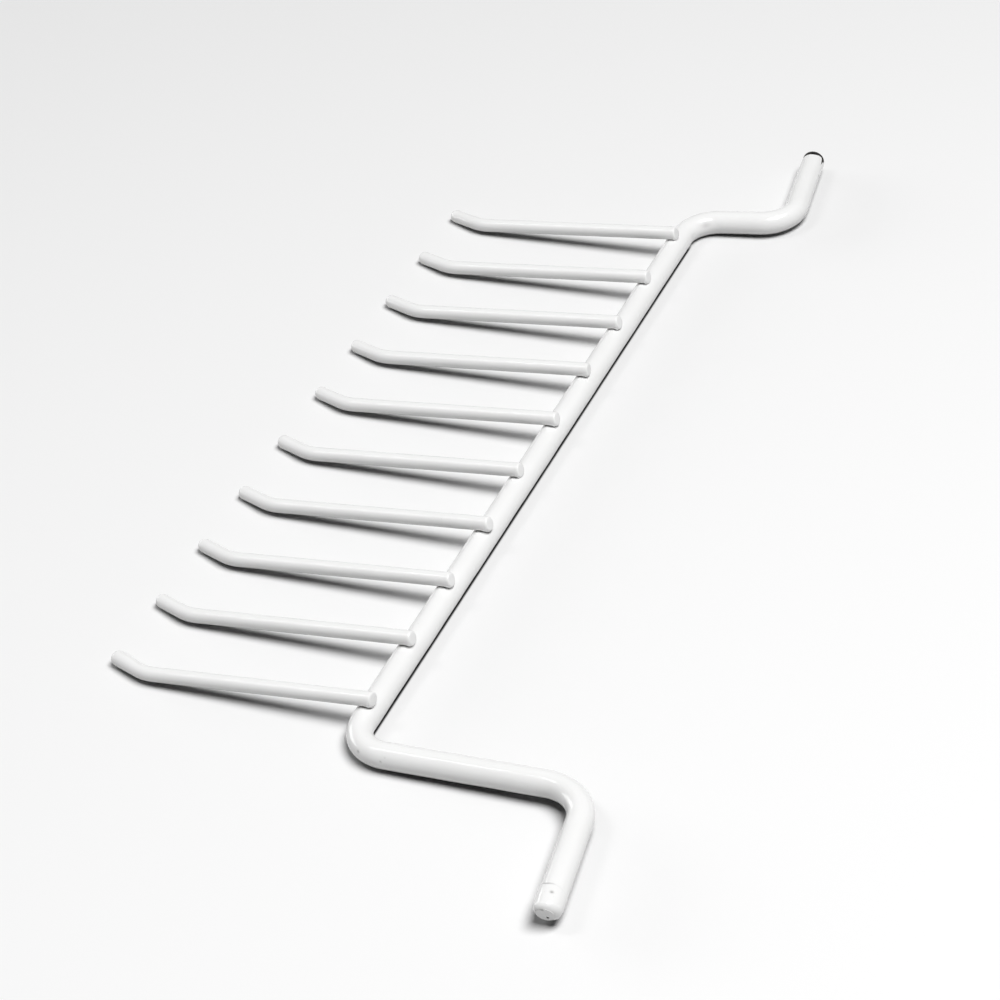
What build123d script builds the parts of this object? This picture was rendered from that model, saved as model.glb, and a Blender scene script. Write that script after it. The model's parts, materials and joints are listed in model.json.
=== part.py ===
"""Swing-out tie holder: a bent rod with a comb of pegs welded across it, lying at rest.

Millimetres. +Y runs along the straight of the rod to its upper end in use, +X points to the two pins
it swings on, and +Z is up as it lies. The origin is under the middle of the whole piece.
"""
import os
from math import asin, atan2, cos, degrees, hypot, radians, sin, sqrt

from build123d import *

# Steel and coating
rod_steel = 8.0  # diameter of the bent rod before coating
peg_steel = 4.4  # diameter of a peg before coating
coat = 0.2  # thickness of the white coating

# Comb of pegs
peg_count = 10
pitch = 30.0  # from peg to peg along the rod
peg_reach = 77.0  # from the rod's middle to the corner of the bent tip
tip_length = 15.6  # from that corner to the end of the tip
tip_angle = 24.0  # upward turn of the tip
tip_bend = 16.0  # bend radius of the tip, at the peg's middle
tip_blunt = 0.3  # how much flatter than a ball the tip's dome is
peg_overlap = 2.2  # how far a peg runs past the rod's middle
end_chamfer = 0.35  # worn edge of the sheared end on the rod
weld_sink = 0.4  # how far the weld lets a peg into the rod
peg_slope = 3.5  # angle by which the pegs slope down from the plane of the bent rod

# Bent rod, with the foot at the lower end in use and the head at the upper end
foot_margin = 16.2  # from the lowest peg to the middle of the foot arm, which is square to the rod
head_margin = 18.4  # from the highest peg to the corner of the head arm, which is square to the pins
head_arm = 37.1  # from corner to corner of the head arm
lean = 7.65  # angle between the rod and the line of the pins
foot_bend = 12.5  # bend radii, at the rod's middle
foot_pin_bend = 15.5
head_bend = 12.5
head_pin_bend = 11.5
foot_pin = 52.0  # from the corner to the end of the pin
head_pin = 46.0

# Ends of the pins
bead_length = 11.5  # bead of coating that ran down to the foot pin's end
bead_swell = 0.25  # how much thicker the coating is there
bead_shift = 0.2  # how far the bead hangs to the pegs' side
bead_flat = 1.1  # radius of the flat left in the middle of its end
pit_radius = 0.4  # pinhole in the bead's end
pit_depth = 0.9
bare_length = 2.0  # steel left bare at the head pin's end
bare_chamfer = 0.6

rod_radius = rod_steel / 2 + coat
peg_radius = peg_steel / 2 + coat
dome_radius = peg_radius + tip_blunt
bead_radius = rod_radius + bead_swell
bead_round = bead_radius - bead_flat
comb_length = (peg_count - 1) * pitch
peg_height = rod_radius + peg_radius - weld_sink  # from the rod's middle up to a peg's middle
from_start = (Align.CENTER, Align.CENTER, Align.MIN)


def bent_tube(points, bends, radius):
    """Round bar of one radius along straight runs joined by bends."""
    line = FilletPolyline(*points, radius=bends)
    start = Plane(origin=line @ 0, z_dir=line % 0)
    return sweep(start * Circle(radius), path=line)


def stub(radius, length, origin, direction):
    """Straight round bar that starts at the origin."""
    return Plane(origin=origin, z_dir=direction) * Cylinder(radius, length, align=from_start)


def end_edge(solid, point):
    """Edge round the end of a bar, at the end whose middle is the given point."""
    return solid.edges().filter_by(GeomType.CIRCLE).sort_by_distance(point)[0]


# Corners of the rod, with the lowest peg at y = 0; the two pins share one line
pin_up = Vector(-sin(radians(lean)), cos(radians(lean)))
pin_side = Vector(-cos(radians(lean)), -sin(radians(lean)))
foot_corner = Vector(0, -foot_margin)
head_corner = Vector(0, comb_length + head_margin)
head_pin_corner = head_corner - pin_side * head_arm
foot_pin_corner = head_pin_corner - pin_up * (head_pin_corner.Y + foot_margin) / pin_up.Y
foot_end = foot_pin_corner - pin_up * foot_pin
head_end = head_pin_corner + pin_up * head_pin

# Rod: its coated length ends inside the bead at the foot and short of the bare steel at the head
bare_start = head_end - pin_up * bare_length
rod_corners = [foot_pin_corner, foot_corner, head_corner, head_pin_corner]
rod_bends = [foot_pin_bend, foot_bend, head_bend, head_pin_bend]
coated_rod = bent_tube([foot_end + pin_up * bead_length / 2, *rod_corners, bare_start], rod_bends, rod_radius)
bead_end = foot_end + pin_side * bead_shift
bead = stub(bead_radius, bead_length, bead_end + pin_up * bead_length, -pin_up)
bead = fillet(end_edge(bead, bead_end), bead_round)
bead -= stub(pit_radius, pit_depth, bead_end, pin_up)
bare = stub(rod_steel / 2, bare_length, bare_start, pin_up)
bare = chamfer(end_edge(bare, head_end), bare_chamfer)
rod = coated_rod + bead + bare

# Peg: lies across the rod, let into it a little by the weld
turn = radians(tip_angle)
peg_start = Vector(peg_overlap, 0, peg_height)
peg_corner = Vector(-peg_reach, 0, peg_height)
tip_way = Vector(-cos(turn), sin(turn))
dome_middle = peg_corner + tip_way * (tip_length - dome_radius)
peg = bent_tube([peg_start, peg_corner, dome_middle], [tip_bend], peg_radius)
peg = chamfer(end_edge(peg, peg_start), end_chamfer)
peg += stub(peg_radius, dome_radius, dome_middle, tip_way) & Pos(dome_middle) * Sphere(dome_radius)
peg -= rod

# Rest: the pegs outweigh the arms, so the piece lies on the straight of the rod and on the tips, and the
# rod's own plane rises a little towards the pins
dome_edge = tip_length - dome_radius + sqrt(dome_radius**2 - peg_radius**2)
touch = peg_reach + dome_edge * cos(turn)
tilt = atan2(peg_height, touch) + asin((rod_radius - peg_radius) / hypot(touch, peg_height))
peg_lie = Pos(0, 0, rod_radius) * Rot(0, -degrees(tilt), 0)
rod_lie = Pos(0, 0, rod_radius) * Rot(0, peg_slope - degrees(tilt), 0)
solids = {"rod": rod_lie * rod}
for number in range(peg_count):
    solids[f"peg_{number + 1:02d}"] = peg_lie * Pos(0, number * pitch, 0) * peg
middle = Compound(list(solids.values())).bounding_box().center()
centre = Pos(-middle.X, -middle.Y, 0)

os.makedirs("parts", exist_ok=True)
for name, solid in solids.items():
    export_step(centre * solid, f"parts/{name}.step")
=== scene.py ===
# %% [markdown]
# # A white tie holder
# The real object is a steel rod bent like a crank, with ten thinner pegs resistance-welded across it and one
# white coating over all of it. It hangs on the two pins at its ends, and a tie goes over each peg. Here it
# lies on a pale floor, as it does in the photograph.
# The CAD model gives the sizes and the place of everything. This lesson keeps those and makes each bar again
# as a finer surface, with the small faults of the coating that a CAD solid has no use for.

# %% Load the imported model
import json

import bpy
import numpy as np
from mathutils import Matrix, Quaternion, Vector


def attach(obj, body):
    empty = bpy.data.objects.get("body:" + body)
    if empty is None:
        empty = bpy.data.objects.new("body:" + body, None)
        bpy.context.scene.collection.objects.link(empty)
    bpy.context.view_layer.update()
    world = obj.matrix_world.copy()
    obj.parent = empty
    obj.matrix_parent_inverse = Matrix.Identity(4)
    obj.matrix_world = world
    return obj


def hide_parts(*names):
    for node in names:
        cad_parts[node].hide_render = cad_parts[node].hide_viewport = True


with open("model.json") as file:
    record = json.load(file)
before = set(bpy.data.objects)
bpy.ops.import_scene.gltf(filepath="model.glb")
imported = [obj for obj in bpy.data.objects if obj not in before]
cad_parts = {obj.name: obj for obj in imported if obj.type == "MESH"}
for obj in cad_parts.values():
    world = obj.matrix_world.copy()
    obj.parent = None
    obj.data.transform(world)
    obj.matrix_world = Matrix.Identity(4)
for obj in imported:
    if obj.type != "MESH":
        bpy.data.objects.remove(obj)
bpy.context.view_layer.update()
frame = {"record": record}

# %% [markdown]
# ## Sizes
# A lesson that repeats the drawing's own numbers can build on the same middle lines as the CAD. These are
# the sizes of the steel before coating, the comb of pegs and the bends of the rod, in millimetres. The
# surfaces are worked out in millimetres too, lying flat, and only the last step makes metres of them.

# %% Sizes from the drawing
rod_steel, peg_steel, coat = 8.0, 4.4, 0.2
peg_count, pitch = 10, 30.0
peg_reach, tip_length, tip_bend = 77.0, 15.6, 16.0
peg_overlap, end_chamfer, weld_sink = 2.2, 0.35, 0.4
foot_margin, head_margin, head_arm = 16.2, 18.4, 37.1
tip_angle, lean, peg_slope = np.radians([24.0, 7.65, 3.5])
foot_bend, foot_pin_bend, head_bend, head_pin_bend = 12.5, 15.5, 12.5, 11.5
foot_pin, head_pin = 52.0, 46.0
bead_swell, bead_shift = 0.25, 0.2
pit_radius, pit_depth = 0.4, 0.9
bare_length, bare_chamfer = 2.0, 0.6

steel_radius = rod_steel / 2
rod_radius = steel_radius + coat
peg_radius = peg_steel / 2 + coat
peg_height = rod_radius + peg_radius - weld_sink
print(f"coated rod {2 * rod_radius} mm thick, coated peg {2 * peg_radius} mm thick")

# %% [markdown]
# ## Middle lines
# A bar that was bent cold has straight runs joined by round bends. Blender could draw that as a curve with a
# bevel, but then nothing says how far along the bar a point is, and the faults need to know. So a bar is
# kept as a list of lengths and of headings: the heading holds on a straight run and turns evenly in a bend.

# %% Bent middle lines
def bent_line(corners, bends):
    """A bent bar's middle line, kept as the lengths and headings at which its runs and bends meet.

    A bend of radius r that turns by t takes r tan(t / 2) from the run on each side of it and is r t long.
    """
    corners = np.asarray(corners, float)
    runs = np.diff(corners, axis=0)
    headings = np.unwrap(np.arctan2(runs[:, 1], runs[:, 0]))
    turns = np.abs(np.diff(headings))
    cuts = bends * np.tan(turns / 2)
    straights = np.hypot(*runs.T) - np.append(cuts, 0) - np.append(0, cuts)
    steps = np.column_stack([straights, np.append(bends * turns, 0)]).ravel()[:-1]
    lengths = np.append(0, np.cumsum(steps))
    return {"start": corners[0], "lengths": lengths, "headings": np.repeat(headings, 2)}


def moves(lengths, before, after):
    """Steps on a line or arc: length times sin(t / 2) / (t / 2) along the heading halfway, for a turn t."""
    half = (before + after) / 2
    chord = lengths * np.sinc((after - before) / (2 * np.pi))
    return chord[..., None] * np.stack([np.cos(half), np.sin(half)], -1)


def along(line, s):
    """Points and headings at the lengths s along a bent line: the last joint before s, then one more step."""
    lengths, headings = line["lengths"], line["headings"]
    steps = moves(np.diff(lengths), headings[:-1], headings[1:])
    joints = line["start"] + np.vstack([[0, 0], np.cumsum(steps, axis=0)])
    last = np.clip(np.searchsorted(lengths, s, side="right") - 1, 0, len(lengths) - 2)
    heading = headings[last] + (s - lengths[last]) * (np.diff(headings) / np.diff(lengths))[last]
    return joints[last] + moves(s - lengths[last], headings[last], heading), heading


pin_up = np.array([-np.sin(lean), np.cos(lean)])
foot_corner = np.array([0, -foot_margin])
head_corner = np.array([0, (peg_count - 1) * pitch + head_margin])
head_pin_corner = head_corner + head_arm * np.array([np.cos(lean), np.sin(lean)])
foot_pin_corner = head_pin_corner - pin_up * (head_pin_corner[1] + foot_margin) / pin_up[1]
foot_end, head_end = foot_pin_corner - foot_pin * pin_up, head_pin_corner + head_pin * pin_up
rod_line = bent_line([foot_end, foot_pin_corner, foot_corner, head_corner, head_pin_corner, head_end],
                     np.array([foot_pin_bend, foot_bend, head_bend, head_pin_bend]))
rod_length = rod_line["lengths"][-1]
peg_tip = np.array([-peg_reach, 0]) + tip_length * np.array([-np.cos(tip_angle), np.sin(tip_angle)])
peg_line = bent_line([[peg_overlap, 0], [-peg_reach, 0], peg_tip], np.array([tip_bend]))
peg_length = peg_line["lengths"][-1]
print(f"rod {rod_length:.1f} mm along its bends, peg {peg_length:.1f} mm")

# %% [markdown]
# ## Lying down
# The piece lies on the straight of its rod and on the tips of its pegs, so it tips a little and both arms
# rise off the floor. The record that was packed with the model states where the upper pin is and which way
# it points. Its slope gives the rod's tilt, and its place gives the shift, so nothing is fitted by eye. The
# pegs were welded on at a small slope to the rod's own plane, so they tip by that much more.

# %% From the flat drawing to the floor
head_mount = next(m for m in frame["record"]["mounts"] if m["name"] == "head_pin")
rod_tilt = np.arctan(head_mount["axis"][2] / head_mount["axis"][0])
peg_tilt = rod_tilt + peg_slope


def tipped(points, tilt):
    """Flat points turned about the rod's straight run: x and z turn by the tilt, y stays."""
    x, y, z = np.moveaxis(points, -1, 0)
    return np.stack([x * np.cos(tilt) - z * np.sin(tilt), y, x * np.sin(tilt) + z * np.cos(tilt)], -1)


mount_length = (rod_line["lengths"][-2] + rod_length - bare_length) / 2
mount_point = np.append(along(rod_line, np.array(mount_length))[0], 0)
shift = 1000 * np.array(head_mount["pos_m"]) - tipped(mount_point, rod_tilt)


def lay_down(points, tilt):
    """Flat points in millimetres to metres on the floor: tipped, then shifted, then divided by 1000."""
    return (tipped(points, tilt) + shift) / 1000


print(f"rod tips {np.degrees(rod_tilt):.3f} degrees, pegs {np.degrees(peg_tilt):.3f} degrees")
print(f"shifted by {np.round(shift, 3)} mm")

# %% [markdown]
# ## Bars as surfaces
# A bar is a ring carried along its line: at the length s and the angle a round the bar, the point lies r out
# from the middle. The angle starts at the bar's left and turns up. A grid of s and a is one array, so the
# whole bar is worked out at once. Each ring may have its own r, which makes domes, flats and beads.

# %% Rings to a closed mesh
def bar_points(line, s, r, a, height=0.0, aside=0.0):
    """Point at s on the line, then r cos(a) + aside to the left and r sin(a) + height up."""
    middle, heading = along(line, s)
    left = r * np.cos(a) + aside
    return np.stack([middle[..., 0] - np.sin(heading) * left, middle[..., 1] + np.cos(heading) * left,
                     height + r * np.sin(a)], -1)


def closed_bar(name, rings, tilt):
    """Mesh of rings x corners x 3 points: quads between rings, and a fan to the middle of each end ring."""
    count, corners = rings.shape[:2]
    points = lay_down(np.concatenate([rings.reshape(-1, 3), rings[[0, -1]].mean(axis=1)]), tilt)
    j = np.arange(corners)
    k = np.roll(j, -1)
    i = corners * np.arange(count - 1)[:, None]
    quads = np.stack([i + j, i + k, i + k + corners, i + j + corners], -1).reshape(-1, 4)
    first, last, end = count * corners, count * corners + 1, corners * (count - 1)
    fans = np.concatenate([np.column_stack([np.full(corners, first), k, j]),
                           np.column_stack([np.full(corners, last), end + j, end + k])])
    mesh = bpy.data.meshes.new(name)
    mesh.from_pydata(points.tolist(), [], quads.tolist() + fans.tolist())
    mesh.shade_smooth()
    piece = bpy.data.objects.new(name, mesh)
    bpy.context.scene.collection.objects.link(piece)
    print(f"{name}: {2 * len(quads) + len(fans)} triangles")
    return piece


def keep_attribute(piece, name, values):
    """One number for each corner of the rings, and nothing for the two middle points."""
    numbers = np.append(values.ravel(), [0, 0]).astype(np.float32)
    piece.data.attributes.new(name, "FLOAT", "POINT").data.foreach_set("value", numbers)


def soft_step(x):
    """Smooth rise from 0 to 1: 3 x squared less 2 x cubed, held flat outside 0 to 1."""
    x = np.clip(x, 0, 1)
    return x * x * (3 - 2 * x)


# %% [markdown]
# ## Rod
# The rod was hung by its upper pin and coated, and the coating ran down and set as a thick bead on the lower
# pin. A bubble left a pinhole in the bead's end. At the upper pin the coating stops short, with a ragged
# edge, where the hook held it. So the profile starts in the pinhole, crosses the end face, rounds into the
# bead, follows every bend and rolls under at the ragged edge. Rings crowd together where a fault is small.

# %% Rings along the rod
rod_corners = 128
a = np.linspace(0, 2 * np.pi, rod_corners, endpoint=False)
bead_radius = rod_radius + bead_swell
face_radius = 2.8
face_round = bead_radius - face_radius
hole_lip = 1.3 * pit_radius
bare_start = rod_length - bare_length

hole = np.array([[pit_depth, 0.1], [pit_depth, 0.25], [0.75 * pit_depth, 0.36],
                 [0.3 * pit_depth, pit_radius], [0.06, 1.06 * pit_radius], [0.0, hole_lip]])
face = np.column_stack([np.zeros(12), np.linspace(0.7, face_radius, 12)])
sweep = np.linspace(0.1, np.pi / 2, 12)
rounded = np.column_stack([face_round * (1 - np.cos(sweep)), face_radius + face_round * np.sin(sweep)])
edge = np.array([[bare_start, rod_radius - 0.03], [bare_start + 0.06, rod_radius - 0.1],
                 [bare_start + 0.03, steel_radius], [bare_start - 0.6, steel_radius - 0.3]])

coarse_step, fine_step = 1.4, 0.16
# Stretches with small faults: bead, rim, pits, rub, last pit and ragged edge
fine_runs = [(1.6, 7.2), (7.3, 11.2), (109.8, 113.0), (117.8, 119.8), (140.2, 141.8), (420, 430),
             (485.6, 488), (489, bare_start - 0.1)]
fine = np.concatenate([np.arange(start, stop, fine_step) for start, stop in fine_runs])
body = np.concatenate([rod_line["lengths"], fine, np.arange(2, rod_length, coarse_step)])
body = np.unique(np.round(body, 4))
body = body[(body > face_round + 0.1) & (body < bare_start - 0.05)]
profile = np.vstack([hole, face, rounded, np.column_stack([body, np.full(len(body), rod_radius)]), edge])
s, r = profile[:, :1], profile[:, 1:]
print(f"{len(profile)} rings of {rod_corners} corners")

# %% [markdown]
# ## Bead on the lower pin
# The bead hangs 0.2 mm to one side, because it ran that way while it was wet, and its end face leans so that
# it looks a little at the floor and to the left. A shear does both: each ring slides along the rod by an
# amount that changes over the face. The face's edge is sharp at the lower left and domed at the upper right,
# so its radius wanders too. The pinhole lies low, so the small rings slide down to it.

# %% Leaning face of the bead
hole_drop, hole_aside = 1.9, 0.15
face_back, face_down, face_left = 0.9, 0.34, 0.13
dome_back, edge_cut, lean_fades = 1.3, 0.6, 6.0

on_end = s < face_round + 0.05
to_hole = np.clip((face_radius - r) / (face_radius - hole_lip), 0, 1) * (s < 1)
lower = -hole_drop * to_hole
upper_right = np.cos(a - np.radians(135))
near_edge = np.where(r > face_radius, (bead_radius - r) / face_round, r / face_radius) * on_end
worn = -edge_cut * upper_right * np.clip(near_edge, 0, 1)
domed = dome_back * (r / bead_radius) ** 2 * np.clip(upper_right, 0, 1)
lean_of_face = face_back - face_down * (r * np.sin(a) + lower) + face_left * r * np.cos(a) + domed
lean_of_face = lean_of_face * (1 - soft_step(s / lean_fades))
print(f"the face slides by up to {lean_of_face.max():.2f} mm along the pin")

# %% [markdown]
# The bead's upper rim wanders round the rod, with a fine groove along it where the coating drew back, and
# the groove is darkened with painted shade.
# It is a length for each angle, so the swell is a step at that length and the groove a bell curve on it.

# %% Rim of the bead
rim_place, rim_wander, rim_width, groove_width = 9.2, 1.2, 0.8, 0.3
rim = rim_place + rim_wander * np.cos(a + 0.35) + 0.15 * np.sin(4 * a)
on_bead = 1 - soft_step((s - rim) / rim_width + 0.5)
swell = np.where(on_end, 0, bead_swell * on_bead)
groove = np.exp(-((s - rim) / groove_width) ** 2 - ((a - 1.05) / 0.62) ** 4)
aside = bead_shift * on_bead - hole_aside * to_hole
print(f"the bead ends {rim.min():.1f} to {rim.max():.1f} mm up the pin")

# %% [markdown]
# ## Pits and tool marks
# A coating traps dust and bubbles, and a bending tool leaves a rub. Each one is a smooth hollow at a length
# and an angle on the rod, with a size both ways and a strength. The same bell curve that digs it also says
# how dirty it is, so it goes into the mesh as an attribute that the material can read.

# %% Hollows in the coating
def bell(at, angle, length, width):
    """Bell over the rod: exp(-(distance along / length) squared - (distance round / width) squared)."""
    off = np.angle(np.exp(1j * (a - np.radians(angle)))) * np.maximum(r, 1)
    return np.exp(-((s - at) / length) ** 2 - (off / width) ** 2)


# Length along the rod, angle in degrees, length and width of the pit, strength
pits = [(5.5, 104, 0.45, 0.5, 0.8),
        (110.8, 34, 0.3, 0.26, 0.2),
        (112.2, 14, 0.36, 0.36, 0.45),
        (114.4, 8, 0.25, 0.3, 0.2),
        (116.0, 12, 0.3, 0.3, 0.2),
        (118.8, 24, 0.4, 0.4, 0.6),
        (141.0, 92, 0.3, 0.3, 0.3),
        (486.8, 176, 0.7, 0.3, 0.8)]
pitted = sum(strength * bell(*place) for *place, strength in pits)
face_pit_left, face_pit_up = 0.9, 2.1
across, up = r * np.cos(a) - face_pit_left, r * np.sin(a) + lower - face_pit_up
face_pit = np.exp(-(across / 0.55) ** 2 - (up / 0.3) ** 2) * (s < 0.5) * (r > 0.6)
pitted = np.clip(pitted + face_pit, 0, 1)
rub = bell(425.0, 160, 2.4, 1.1)
pit_dip, rub_dip, groove_dip = 0.18, 0.16, 0.16
hollows = pit_dip * pitted + rub_dip * rub + groove_dip * groove
print(f"{len(pits) + 1} pits and one rub, the deepest {hollows.max():.2f} mm")

# %% [markdown]
# ## Ragged edge
# Near the upper end the rings are pulled back by an amount that changes round the rod: little on the left,
# more on top, and far in one streak on the right, where the hook touched and the coating tore. Slow waves of
# a fiftieth of a millimetre run over the rest, because a film that flowed is never quite even.

# %% Pull back the coating and close the rod
wave_height, inset = 0.02, 0.05
torn_back, torn_at, torn_width = 3.5, np.radians(162), 0.13
top_back, ragged_run = 1.1, 7.0
taper_depth, taper_run = 0.3, 7.0

streak = np.exp(-((a - torn_at) / torn_width) ** 2)
ragged = 0.2 * np.cos(a - 0.2) - top_back * np.exp(-((a - 1.0) / 1.1) ** 4) + 0.1 * np.sin(5 * a + 1)
ragged = ragged - torn_back * streak
pulled = s + lean_of_face + ragged * soft_step((s - bare_start) / ragged_run + 1)
waves = wave_height * (np.sin(s / 3.1 + 2 * a) + np.sin(s / 7.3 - a))
waves = waves * soft_step((s - 7) / 3) * soft_step((bare_start - s) / 3)
taper = taper_depth * (1 - soft_step(s / taper_run)) * (r > face_radius)
reach = r + worn + swell - hollows + waves - taper - inset * (r > steel_radius)
rod_piece = closed_bar("coated_rod", bar_points(rod_line, pulled, reach, a, lower, aside), rod_tilt)
# Painted shade: the pinhole and the bead's groove go into this attribute as shade, beside the pits' dirt and
# the rub.
hole_shade = (s > 0.2) * (r < 0.5)
keep_attribute(rod_piece, "dirt_and_shade", np.clip(pitted + 0.85 * groove + 0.25 * rub + hole_shade, 0, 1))

# %% [markdown]
# ## Bare end of the upper pin
# Under the ragged edge the pin is plain dark steel, cut square with a small chamfer. It is a separate bar of
# the steel's own diameter, and starts far enough back to show in the torn streak.

# %% Bare end
bare_back = bare_start - ragged_run
chamfer_start, bare_end = rod_length - bare_chamfer, rod_length - 0.02
bare = np.array([[bare_back, steel_radius - 1], [bare_back, steel_radius - 0.04],
                 [bare_start - 4, steel_radius - 0.02], [chamfer_start - 0.1, steel_radius],
                 [chamfer_start, steel_radius - 0.02], [bare_end - 0.03, steel_radius - bare_chamfer],
                 [bare_end, steel_radius - bare_chamfer - 0.1], [bare_end, 0.5]])
bare_rings = bar_points(rod_line, bare[:, :1] + 0 * a, bare[:, 1:], a)
bare_piece = closed_bar("bare_pin_end", bare_rings, rod_tilt)

# %% [markdown]
# ## Pegs
# Each peg is a length of thinner wire. One end was sheared and welded on the rod, the other has a rounded
# tip turned up by 24 degrees. All ten come from one tool, so one grid makes them all: a sheared face with a
# worn edge, a plain run with more rings near the weld, and a dome. The weld squeezes a little steel out under
# the sheared end.

# %% Rings along a peg
peg_corners = 64
b = np.linspace(0, 2 * np.pi, peg_corners, endpoint=False)
peg_inset = 0.03
dome_length = peg_radius
worn_edge = [(1.5, 0.0), (1.0, 0.05), (0.55, 0.16), (0.2, 0.34)]
sheared = np.array([[0.0, 0.3], [0.0, 0.5 * peg_radius],
                    *([start, peg_radius - share * end_chamfer] for share, start in worn_edge),
                    [0.6, peg_radius - 0.03]])
run = np.concatenate([peg_line["lengths"], np.arange(0.8, 5, 0.2), np.arange(5, peg_length, 1.2)])
run = np.unique(np.round(run, 4))
run = run[(run > 0.7) & (run < peg_length - dome_length - 0.08)]
fall = np.linspace(0, 1, 22)[:-1] ** 0.8
tip_s = peg_length - peg_inset - dome_length * (1 - fall)
tip = np.column_stack([tip_s, peg_radius * np.sqrt(1 - fall ** 2)])
peg_profile = np.vstack([sheared, np.column_stack([run, np.full(len(run), peg_radius)]), tip])
peg_s, peg_r = peg_profile[:, :1], peg_profile[:, 1:]
squeeze, squeeze_at, squeeze_width = 0.3, 0.9, 0.6
low_side = np.clip(-np.sin(b), 0, 1) ** 0.7
squeezed = squeeze * low_side * np.exp(-((peg_s - squeeze_at) / squeeze_width) ** 2)
peg_waves = 0.012 * np.sin(peg_s / 2.7 + 2 * b)
peg_waves = peg_waves * soft_step((peg_s - 1) / 3) * soft_step((peg_length - 6 - peg_s) / 3)
print(f"{len(peg_profile)} rings of {peg_corners} corners on each peg")

# %% [markdown]
# The shear never cuts twice alike. A fixed list of small numbers leans each sheared face and lets it stand
# out more or less, much as in the photograph. A drop of coating set on the first tip, which is thicker than
# the rest, so it also sits a little higher and ends a little sooner. Only these numbers differ from peg to
# peg, so a loop of ten turns makes the ten pieces.

# %% Ten pegs
stands_out = np.array([0.9, 0.7, 0.84, 1.3, -0.2, 0.7, 0.4, 0.25, -0.15, -0.5])
face_lean = np.array([0.28, 0.3, 0.35, 0.42, 0.25, 0.3, 0.14, 0.4, 0.25, 0.3])
face_turn = np.array([0.3, 1.4, 1.7, 1.5, 1.2, 1.6, 3.1, 1.7, 1.3, 1.5])
first_drop, drop_ends_sooner, drop_sits_higher = 0.18, 0.6, 1.3
at_sheared_end = 1 - soft_step(peg_s / 2.5)
on_tip = soft_step((peg_s - peg_length + 14) / 9)
peg_pieces = []
for number in range(peg_count):
    slant = face_lean[number] * np.cos(b - face_turn[number]) * peg_r / peg_radius - stands_out[number]
    drop = on_tip * (first_drop if number == 0 else 0.0)
    cut = peg_s + slant * at_sheared_end - drop_ends_sooner * drop
    thick = peg_r * (1 + drop / peg_radius) - peg_inset + squeezed + peg_waves
    rings = bar_points(peg_line, cut, thick, b, peg_height + drop_sits_higher * drop)
    peg_pieces.append(closed_bar(f"coated_peg_{number + 1:02d}", rings + [0, number * pitch, 0], peg_tilt))
    keep_attribute(peg_pieces[-1], "dirt_and_shade", np.zeros(rings.shape[:2]))

# %% [markdown]
# ## White coating
# The coating is a smooth white plastic film, a little glossy, with the fine orange peel that a baked coating
# has. A flat white would do from far away. Close up, noise on the Object coordinates varies the white and
# the gloss, a few dust specks show, and a fine bump breaks the highlight. The narrow gap beside each weld
# gets painted shade, so it stays dark. A few helpers keep the node code short.

# %% Node helpers
def new_material(name):
    """Empty node material with a Principled shader, its nodes, a linker and the Object coordinates."""
    material = bpy.data.materials.new(name)
    material.use_nodes = True
    nodes = material.node_tree.nodes
    return material, nodes, material.node_tree.links.new, nodes.new("ShaderNodeTexCoord").outputs["Object"]


def put(link, socket, value):
    """Link a socket's value, or set a plain number or colour."""
    if isinstance(value, bpy.types.NodeSocket):
        link(value, socket)
    else:
        socket.default_value = (*value, 1) if isinstance(value, tuple) else value


def noise(nodes, link, place, scale, detail):
    """Noise pattern with so many waves to the metre."""
    node = nodes.new("ShaderNodeTexNoise")
    node.inputs["Scale"].default_value = scale
    node.inputs["Detail"].default_value = detail
    link(place, node.inputs["Vector"])
    return node.outputs["Fac"]


def between(nodes, link, value, low, high, start=0.0, end=1.0):
    """Value mapped from start..end to low..high, held at both ends."""
    node = nodes.new("ShaderNodeMapRange")
    for name, number in zip(("From Min", "From Max", "To Min", "To Max"), (start, end, low, high)):
        node.inputs[name].default_value = number
    link(value, node.inputs["Value"])
    return node.outputs["Result"]


def blend(nodes, link, amount, first, second):
    """Mix of two colours by an amount."""
    node = nodes.new("ShaderNodeMix")
    node.data_type = "RGBA"
    put(link, node.inputs["Factor"], amount)
    put(link, node.inputs["A"], first)
    put(link, node.inputs["B"], second)
    return node.outputs["Result"]


def reckon(nodes, link, operation, *values):
    """One sum on numbers or sockets."""
    node = nodes.new("ShaderNodeMath")
    node.operation = operation
    for socket, value in zip(node.inputs, values):
        put(link, socket, value)
    return node.outputs["Value"]


def hypotenuse(nodes, link, p, q):
    """Square root of p squared plus q squared."""
    squares = [reckon(nodes, link, "MULTIPLY", side, side) for side in (p, q)]
    return reckon(nodes, link, "SQRT", reckon(nodes, link, "ADD", *squares))


def from_rod_axis(nodes, link, place, axes="XYZ"):
    """Coordinates counted from the middle of the rod at the first peg, in metres."""
    apart = nodes.new("ShaderNodeSeparateXYZ")
    link(place, apart.inputs["Vector"])
    return [reckon(nodes, link, "SUBTRACT", apart.outputs[axis], float(start))
            for axis, start in zip(axes, shift / 1000)]
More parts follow.
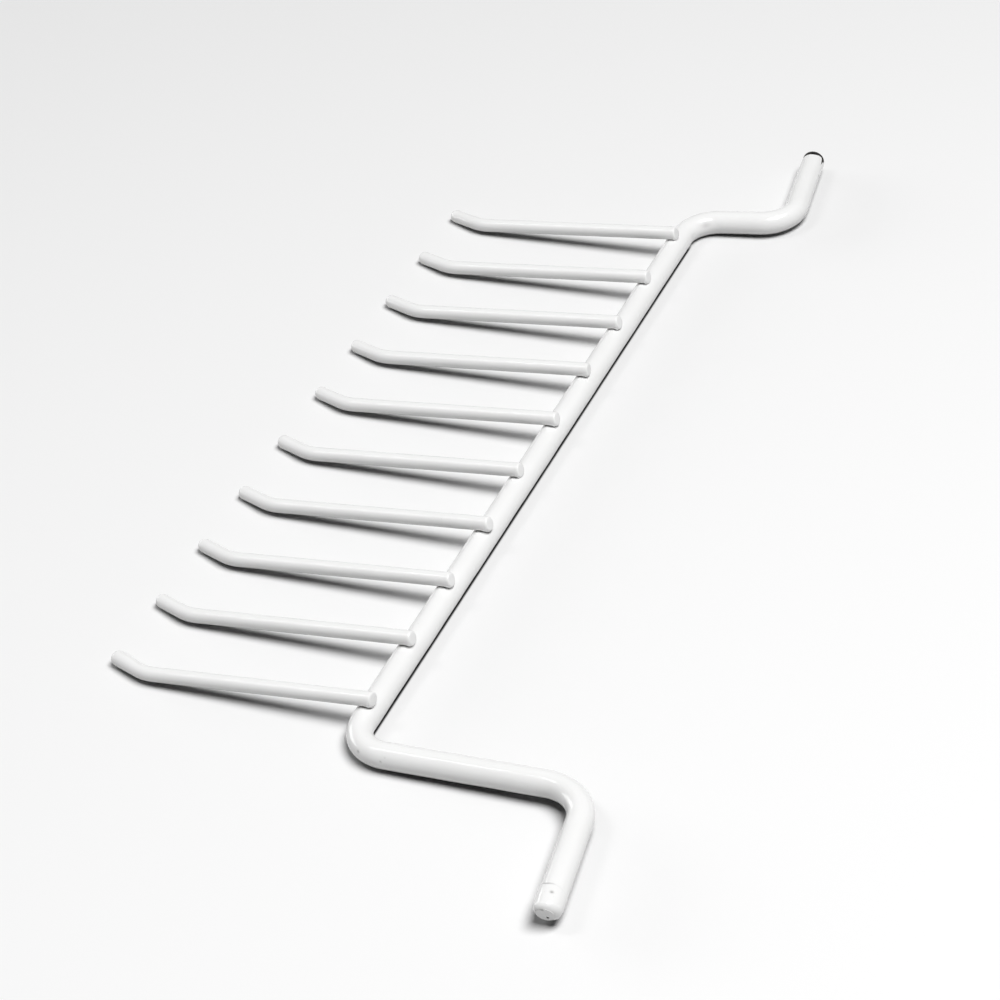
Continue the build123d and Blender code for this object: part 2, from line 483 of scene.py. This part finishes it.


# %% [markdown]
# The painted shade in the gap is placed by sums. How far a point is from the rod's surface and from the
# surface of the nearest peg both follow from its coordinates, because the rod is straight there and the pegs
# repeat at an even pitch. Where both distances are nearly nothing, the point is in the gap and is painted
# dark as shade. Under the sheared end the weld has filled the gap, so the painted shade fades out there.

# %% Painted shade in the gap beside the welds
coating, nodes, link, place = new_material("white_coating")
x, y, z = from_rod_axis(nodes, link, place)
from_rod = reckon(nodes, link, "SUBTRACT", hypotenuse(nodes, link, x, z), rod_radius / 1000)
near_y = reckon(nodes, link, "WRAP", y, pitch / 2000, -pitch / 2000)
climb = reckon(nodes, link, "MULTIPLY", z, float(np.cos(peg_tilt)))
climb = reckon(nodes, link, "SUBTRACT", climb, reckon(nodes, link, "MULTIPLY", x, float(np.sin(peg_tilt))))
climb = reckon(nodes, link, "SUBTRACT", climb, peg_height / 1000)
from_peg = reckon(nodes, link, "SUBTRACT", hypotenuse(nodes, link, near_y, climb), peg_radius / 1000)
apart_by = reckon(nodes, link, "MAXIMUM", from_rod, from_peg)
gap_full, gap_gone = 0.00012, 0.0004
filling_start, filling_end, left_at_end = 0.0006, 0.0016, 0.15
# Painted shade: this mask darkens the coating in the crevice where each peg meets the rod.
gap_shade = between(nodes, link, apart_by, 1, 0, gap_full, gap_gone)
left_open = between(nodes, link, x, 1, left_at_end, filling_start, filling_end)
gap_shade = reckon(nodes, link, "MULTIPLY", gap_shade, left_open)
print("gap worked out with", len(nodes), "nodes")

# %% [markdown]
# The white itself is a little uneven. The attribute darkens it with real dirt in the pits and the rub, and
# with painted shade in the groove and the pinhole, and the gap adds painted shade beside the welds. The dust
# specks come from a noise whose few highest peaks are kept. Roughness rises where these darken it, and the
# orange peel is a bump of about a millimetre in width.

# %% Colour, gloss and orange peel
dull_white, clear_white = (0.915, 0.915, 0.909), (0.937, 0.937, 0.934)
dust, grime_and_shade = (0.45, 0.44, 0.42), (0.1, 0.095, 0.09)
peel_strength, peel_height = 0.12, 0.0001

shader = nodes["Principled BSDF"]
attribute = nodes.new("ShaderNodeAttribute")
attribute.attribute_name = "dirt_and_shade"
dirt_and_shade = reckon(nodes, link, "MAXIMUM", gap_shade, attribute.outputs["Fac"])
cloud = between(nodes, link, noise(nodes, link, place, 45, 3), 0, 1, 0.3, 0.7)
white = blend(nodes, link, cloud, dull_white, clear_white)
specks = between(nodes, link, noise(nodes, link, place, 1400, 1), 0, 0.35, 0.79, 0.83)
white = blend(nodes, link, specks, white, dust)
# Painted shade: this grime colour also darkens the weld gap, the groove and the pinhole as shade.
colour = blend(nodes, link, between(nodes, link, dirt_and_shade, 0, 0.85), white, grime_and_shade)
link(colour, shader.inputs["Base Color"])
gloss = between(nodes, link, noise(nodes, link, place, 240, 3), 0.11, 0.17, 0.3, 0.7)
link(reckon(nodes, link, "ADD", gloss, between(nodes, link, dirt_and_shade, 0, 0.4)), shader.inputs["Roughness"])
peel = nodes.new("ShaderNodeBump")
peel.inputs["Strength"].default_value = peel_strength
peel.inputs["Distance"].default_value = peel_height
link(noise(nodes, link, place, 900, 2), peel.inputs["Height"])
link(peel.outputs["Normal"], shader.inputs["Normal"])
print("white_coating:", len(nodes), "nodes")

# %% [markdown]
# ## Bare steel
# The end that the coating missed is dark rolled steel with a little scale on it, nearly black beside the
# white. Metal has no colour of its own under the shine, so Metallic is 1 and the base colour is the shine.

# %% Steel material
dark_scale, worn_scale = (0.018, 0.017, 0.016), (0.06, 0.057, 0.054)

steel_finish, nodes, link, place = new_material("bare_steel")
shader = nodes["Principled BSDF"]
shader.inputs["Metallic"].default_value = 1.0
scale_patch = between(nodes, link, noise(nodes, link, place, 700, 4), 0, 1, 0.35, 0.65)
link(blend(nodes, link, scale_patch, dark_scale, worn_scale), shader.inputs["Base Color"])
link(between(nodes, link, scale_patch, 0.7, 0.5), shader.inputs["Roughness"])
print("bare_steel:", len(nodes), "nodes")

# %% [markdown]
# ## Finishes and places
# Each surface now gets its finish and stands for the CAD solid of the same bar, which is hidden. The bare
# steel end belongs to the rod's solid too, so it replaces nothing more. The whole object is one rigid body,
# so every piece rides on the root.

# %% Give the pieces their finishes and places
cad_nodes = ["rod", *(f"peg_{number + 1:02d}" for number in range(peg_count))]
for piece, node in zip([rod_piece, *peg_pieces], cad_nodes):
    piece.data.materials.append(coating)
    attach(piece, "root")
    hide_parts(node)
bare_piece.data.materials.append(steel_finish)
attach(bare_piece, "root")
print(len(cad_nodes), "coated pieces and one bare one ride on the root")

# %% [markdown]
# ## Floor and light
# A pale sheet lies under the object. A white floor throws much light back up, which washes out the undersides
# of thin bars. So the floor is white to the eye, and greyer to the light that bounces off it: a ramp picks
# the white by how often the light has bounced.

# %% Floor
floor_reach = 4
floor_mesh = bpy.data.meshes.new("floor")
floor_corners = floor_reach * np.array([[-1, -1, 0], [1, -1, 0], [1, 1, 0], [-1, 1, 0]])
floor_mesh.from_pydata(floor_corners.tolist(), [], [(0, 1, 2, 3)])
floor = bpy.data.objects.new("floor", floor_mesh)
bpy.context.scene.collection.objects.link(floor)
sheet, nodes, link, place = new_material("pale_sheet")
floor_mesh.materials.append(sheet)
shader = nodes["Principled BSDF"]
shader.inputs["Roughness"].default_value = 0.9
shader.inputs["Specular IOR Level"].default_value = 0.0
most_bounces = 4
rays = nodes.new("ShaderNodeLightPath")
ramp = nodes.new("ShaderNodeValToRGB")
ramp.color_ramp.interpolation = "CONSTANT"
ramp.color_ramp.elements.new(0.5)
whites = [(0.0, 0.915), (0.5, 0.61), (1.5, 0.02)]
for stop, (bounces, white) in zip(ramp.color_ramp.elements, whites):
    stop.position = bounces / most_bounces
    stop.color = (white, white, white, 1)
link(between(nodes, link, rays.outputs["Diffuse Depth"], 0, 1, 0, most_bounces), ramp.inputs["Fac"])
print("floor whites by bounces:", whites)

# %% [markdown]
# In the wedge between the rod and the floor the photograph is nearly black, darker than these soft lamps
# leave it, so a contact shadow is painted there: the floor's colour drops to near black. The painted
# shadow follows the straight of the rod, and fades at both bends.
# Far out, where the lamps fade, the eye sees plain white instead, which lights nothing.

# %% Painted contact shadow and far floor
wedge_dark, wedge_full, wedge_gone, wedge_fade = 0.95, 0.0028, 0.0034, 0.003
straight_start, straight_end = (foot_bend - foot_margin) / 1000, float(head_corner[1] - head_bend) / 1000
contact_shadow_black, far_start, far_end, far_white = (0.01, 0.01, 0.01), 0.6, 1.3, 0.9

x, y = from_rod_axis(nodes, link, place, "XY")
beside = reckon(nodes, link, "ABSOLUTE", x)
contact_shadow = between(nodes, link, beside, wedge_dark, 0, wedge_full, wedge_gone)
after_foot = between(nodes, link, y, 0, 1, straight_start - wedge_fade, straight_start)
before_head = between(nodes, link, y, 1, 0, straight_end, straight_end + wedge_fade)
contact_shadow = reckon(nodes, link, "MULTIPLY", contact_shadow, reckon(nodes, link, "MULTIPLY", after_foot, before_head))
# Painted shadow: the floor's colour is blended to near black in the wedge beside the rod.
link(blend(nodes, link, contact_shadow, ramp.outputs["Color"], contact_shadow_black), shader.inputs["Base Color"])
distance = nodes.new("ShaderNodeVectorMath")
distance.operation = "LENGTH"
link(place, distance.inputs[0])
far = between(nodes, link, distance.outputs["Value"], 0, 1, far_start, far_end)
seen_far = reckon(nodes, link, "MULTIPLY", far, rays.outputs["Is Camera Ray"])
plain = nodes.new("ShaderNodeEmission")
plain.inputs["Strength"].default_value = far_white
either = nodes.new("ShaderNodeMixShader")
link(seen_far, either.inputs["Fac"])
link(shader.outputs["BSDF"], either.inputs[1])
link(plain.outputs["Emission"], either.inputs[2])
link(either.outputs["Shader"], nodes["Material Output"].inputs["Surface"])
print("pale_sheet:", len(nodes), "nodes")

# %% [markdown]
# The shadows in the photograph tell where the light came from. One large soft lamp overhead, a little to the
# right and to the front, makes nearly all of them. A narrow weak one at the upper left draws the bright line
# along each peg, and a low one far to the left keeps the left flanks from going dark.

# %% Lamps
def soft_lamp(name, place, width, height, power):
    """Area lamp at a place, in metres, turned to face the origin and hidden from the camera."""
    lamp = bpy.data.lights.new(name, "AREA")
    lamp.shape = "ELLIPSE"
    lamp.size, lamp.size_y, lamp.energy = width, height, power
    lamp_object = bpy.data.objects.new(name, lamp)
    lamp_object.location = place
    lamp_object.rotation_euler = Vector(place).to_track_quat("Z", "Y").to_euler()
    lamp_object.visible_camera = False
    bpy.context.scene.collection.objects.link(lamp_object)
    print(f"{name}: {power} W at {place} m")


soft_lamp("overhead", (0.821, -0.299, 2.02), width=1.55, height=1.0, power=51.0)
soft_lamp("second", (-0.985, -0.3, 1.72), width=0.24, height=0.66, power=3.4)
soft_lamp("low_left", (-1.93, 0.3, 0.42), width=1.9, height=0.6, power=10.0)

# %% [markdown]
# The world gives almost no light of its own, because the shadows are deep. Only the eye sees it white, and
# the gloss of the coating sees it about half as bright, so that the bars have something to mirror.

# %% World
ambient, seen_white, mirrored_white = 0.004, 0.9, 0.5
world = bpy.data.worlds.new("studio")
world.use_nodes = True
nodes, link = world.node_tree.nodes, world.node_tree.links.new
rays = nodes.new("ShaderNodeLightPath")
seen = reckon(nodes, link, "MULTIPLY", rays.outputs["Is Camera Ray"], seen_white)
mirrored = reckon(nodes, link, "MULTIPLY", rays.outputs["Is Glossy Ray"], mirrored_white)
shown = reckon(nodes, link, "ADD", seen, mirrored)
backdrop = nodes["Background"]
backdrop.inputs["Color"].default_value = (1, 1, 1, 1)
link(reckon(nodes, link, "ADD", shown, ambient), backdrop.inputs["Strength"])
bpy.context.scene.world = world
bpy.context.scene.view_settings.view_transform = "Standard"
print("a backdrop that only the eye and the gloss see")

# %% [markdown]
# ## Camera
# The camera stands where the photograph was taken from: low over the foot of the rod, with a long lens, and
# rolled a little so that the right side dips.

# %% Camera
camera_place = Vector((0.3719125, -0.7550547, 0.599088))
camera_target = Vector((-0.0043092, -0.0197961, 0))
camera_roll = np.radians(-7.6488)
lens = bpy.data.cameras.new("camera")
lens.lens, lens.sensor_width = 111.5913, 36
camera = bpy.data.objects.new("camera", lens)
camera.location = camera_place
aim = (camera_target - camera_place).to_track_quat("-Z", "Y") @ Quaternion((0, 0, 1), camera_roll)
camera.rotation_euler = aim.to_euler()
bpy.context.scene.collection.objects.link(camera)
bpy.context.scene.camera = camera
print(f"camera {(camera_target - camera_place).length:.3f} m from the point that it looks at")
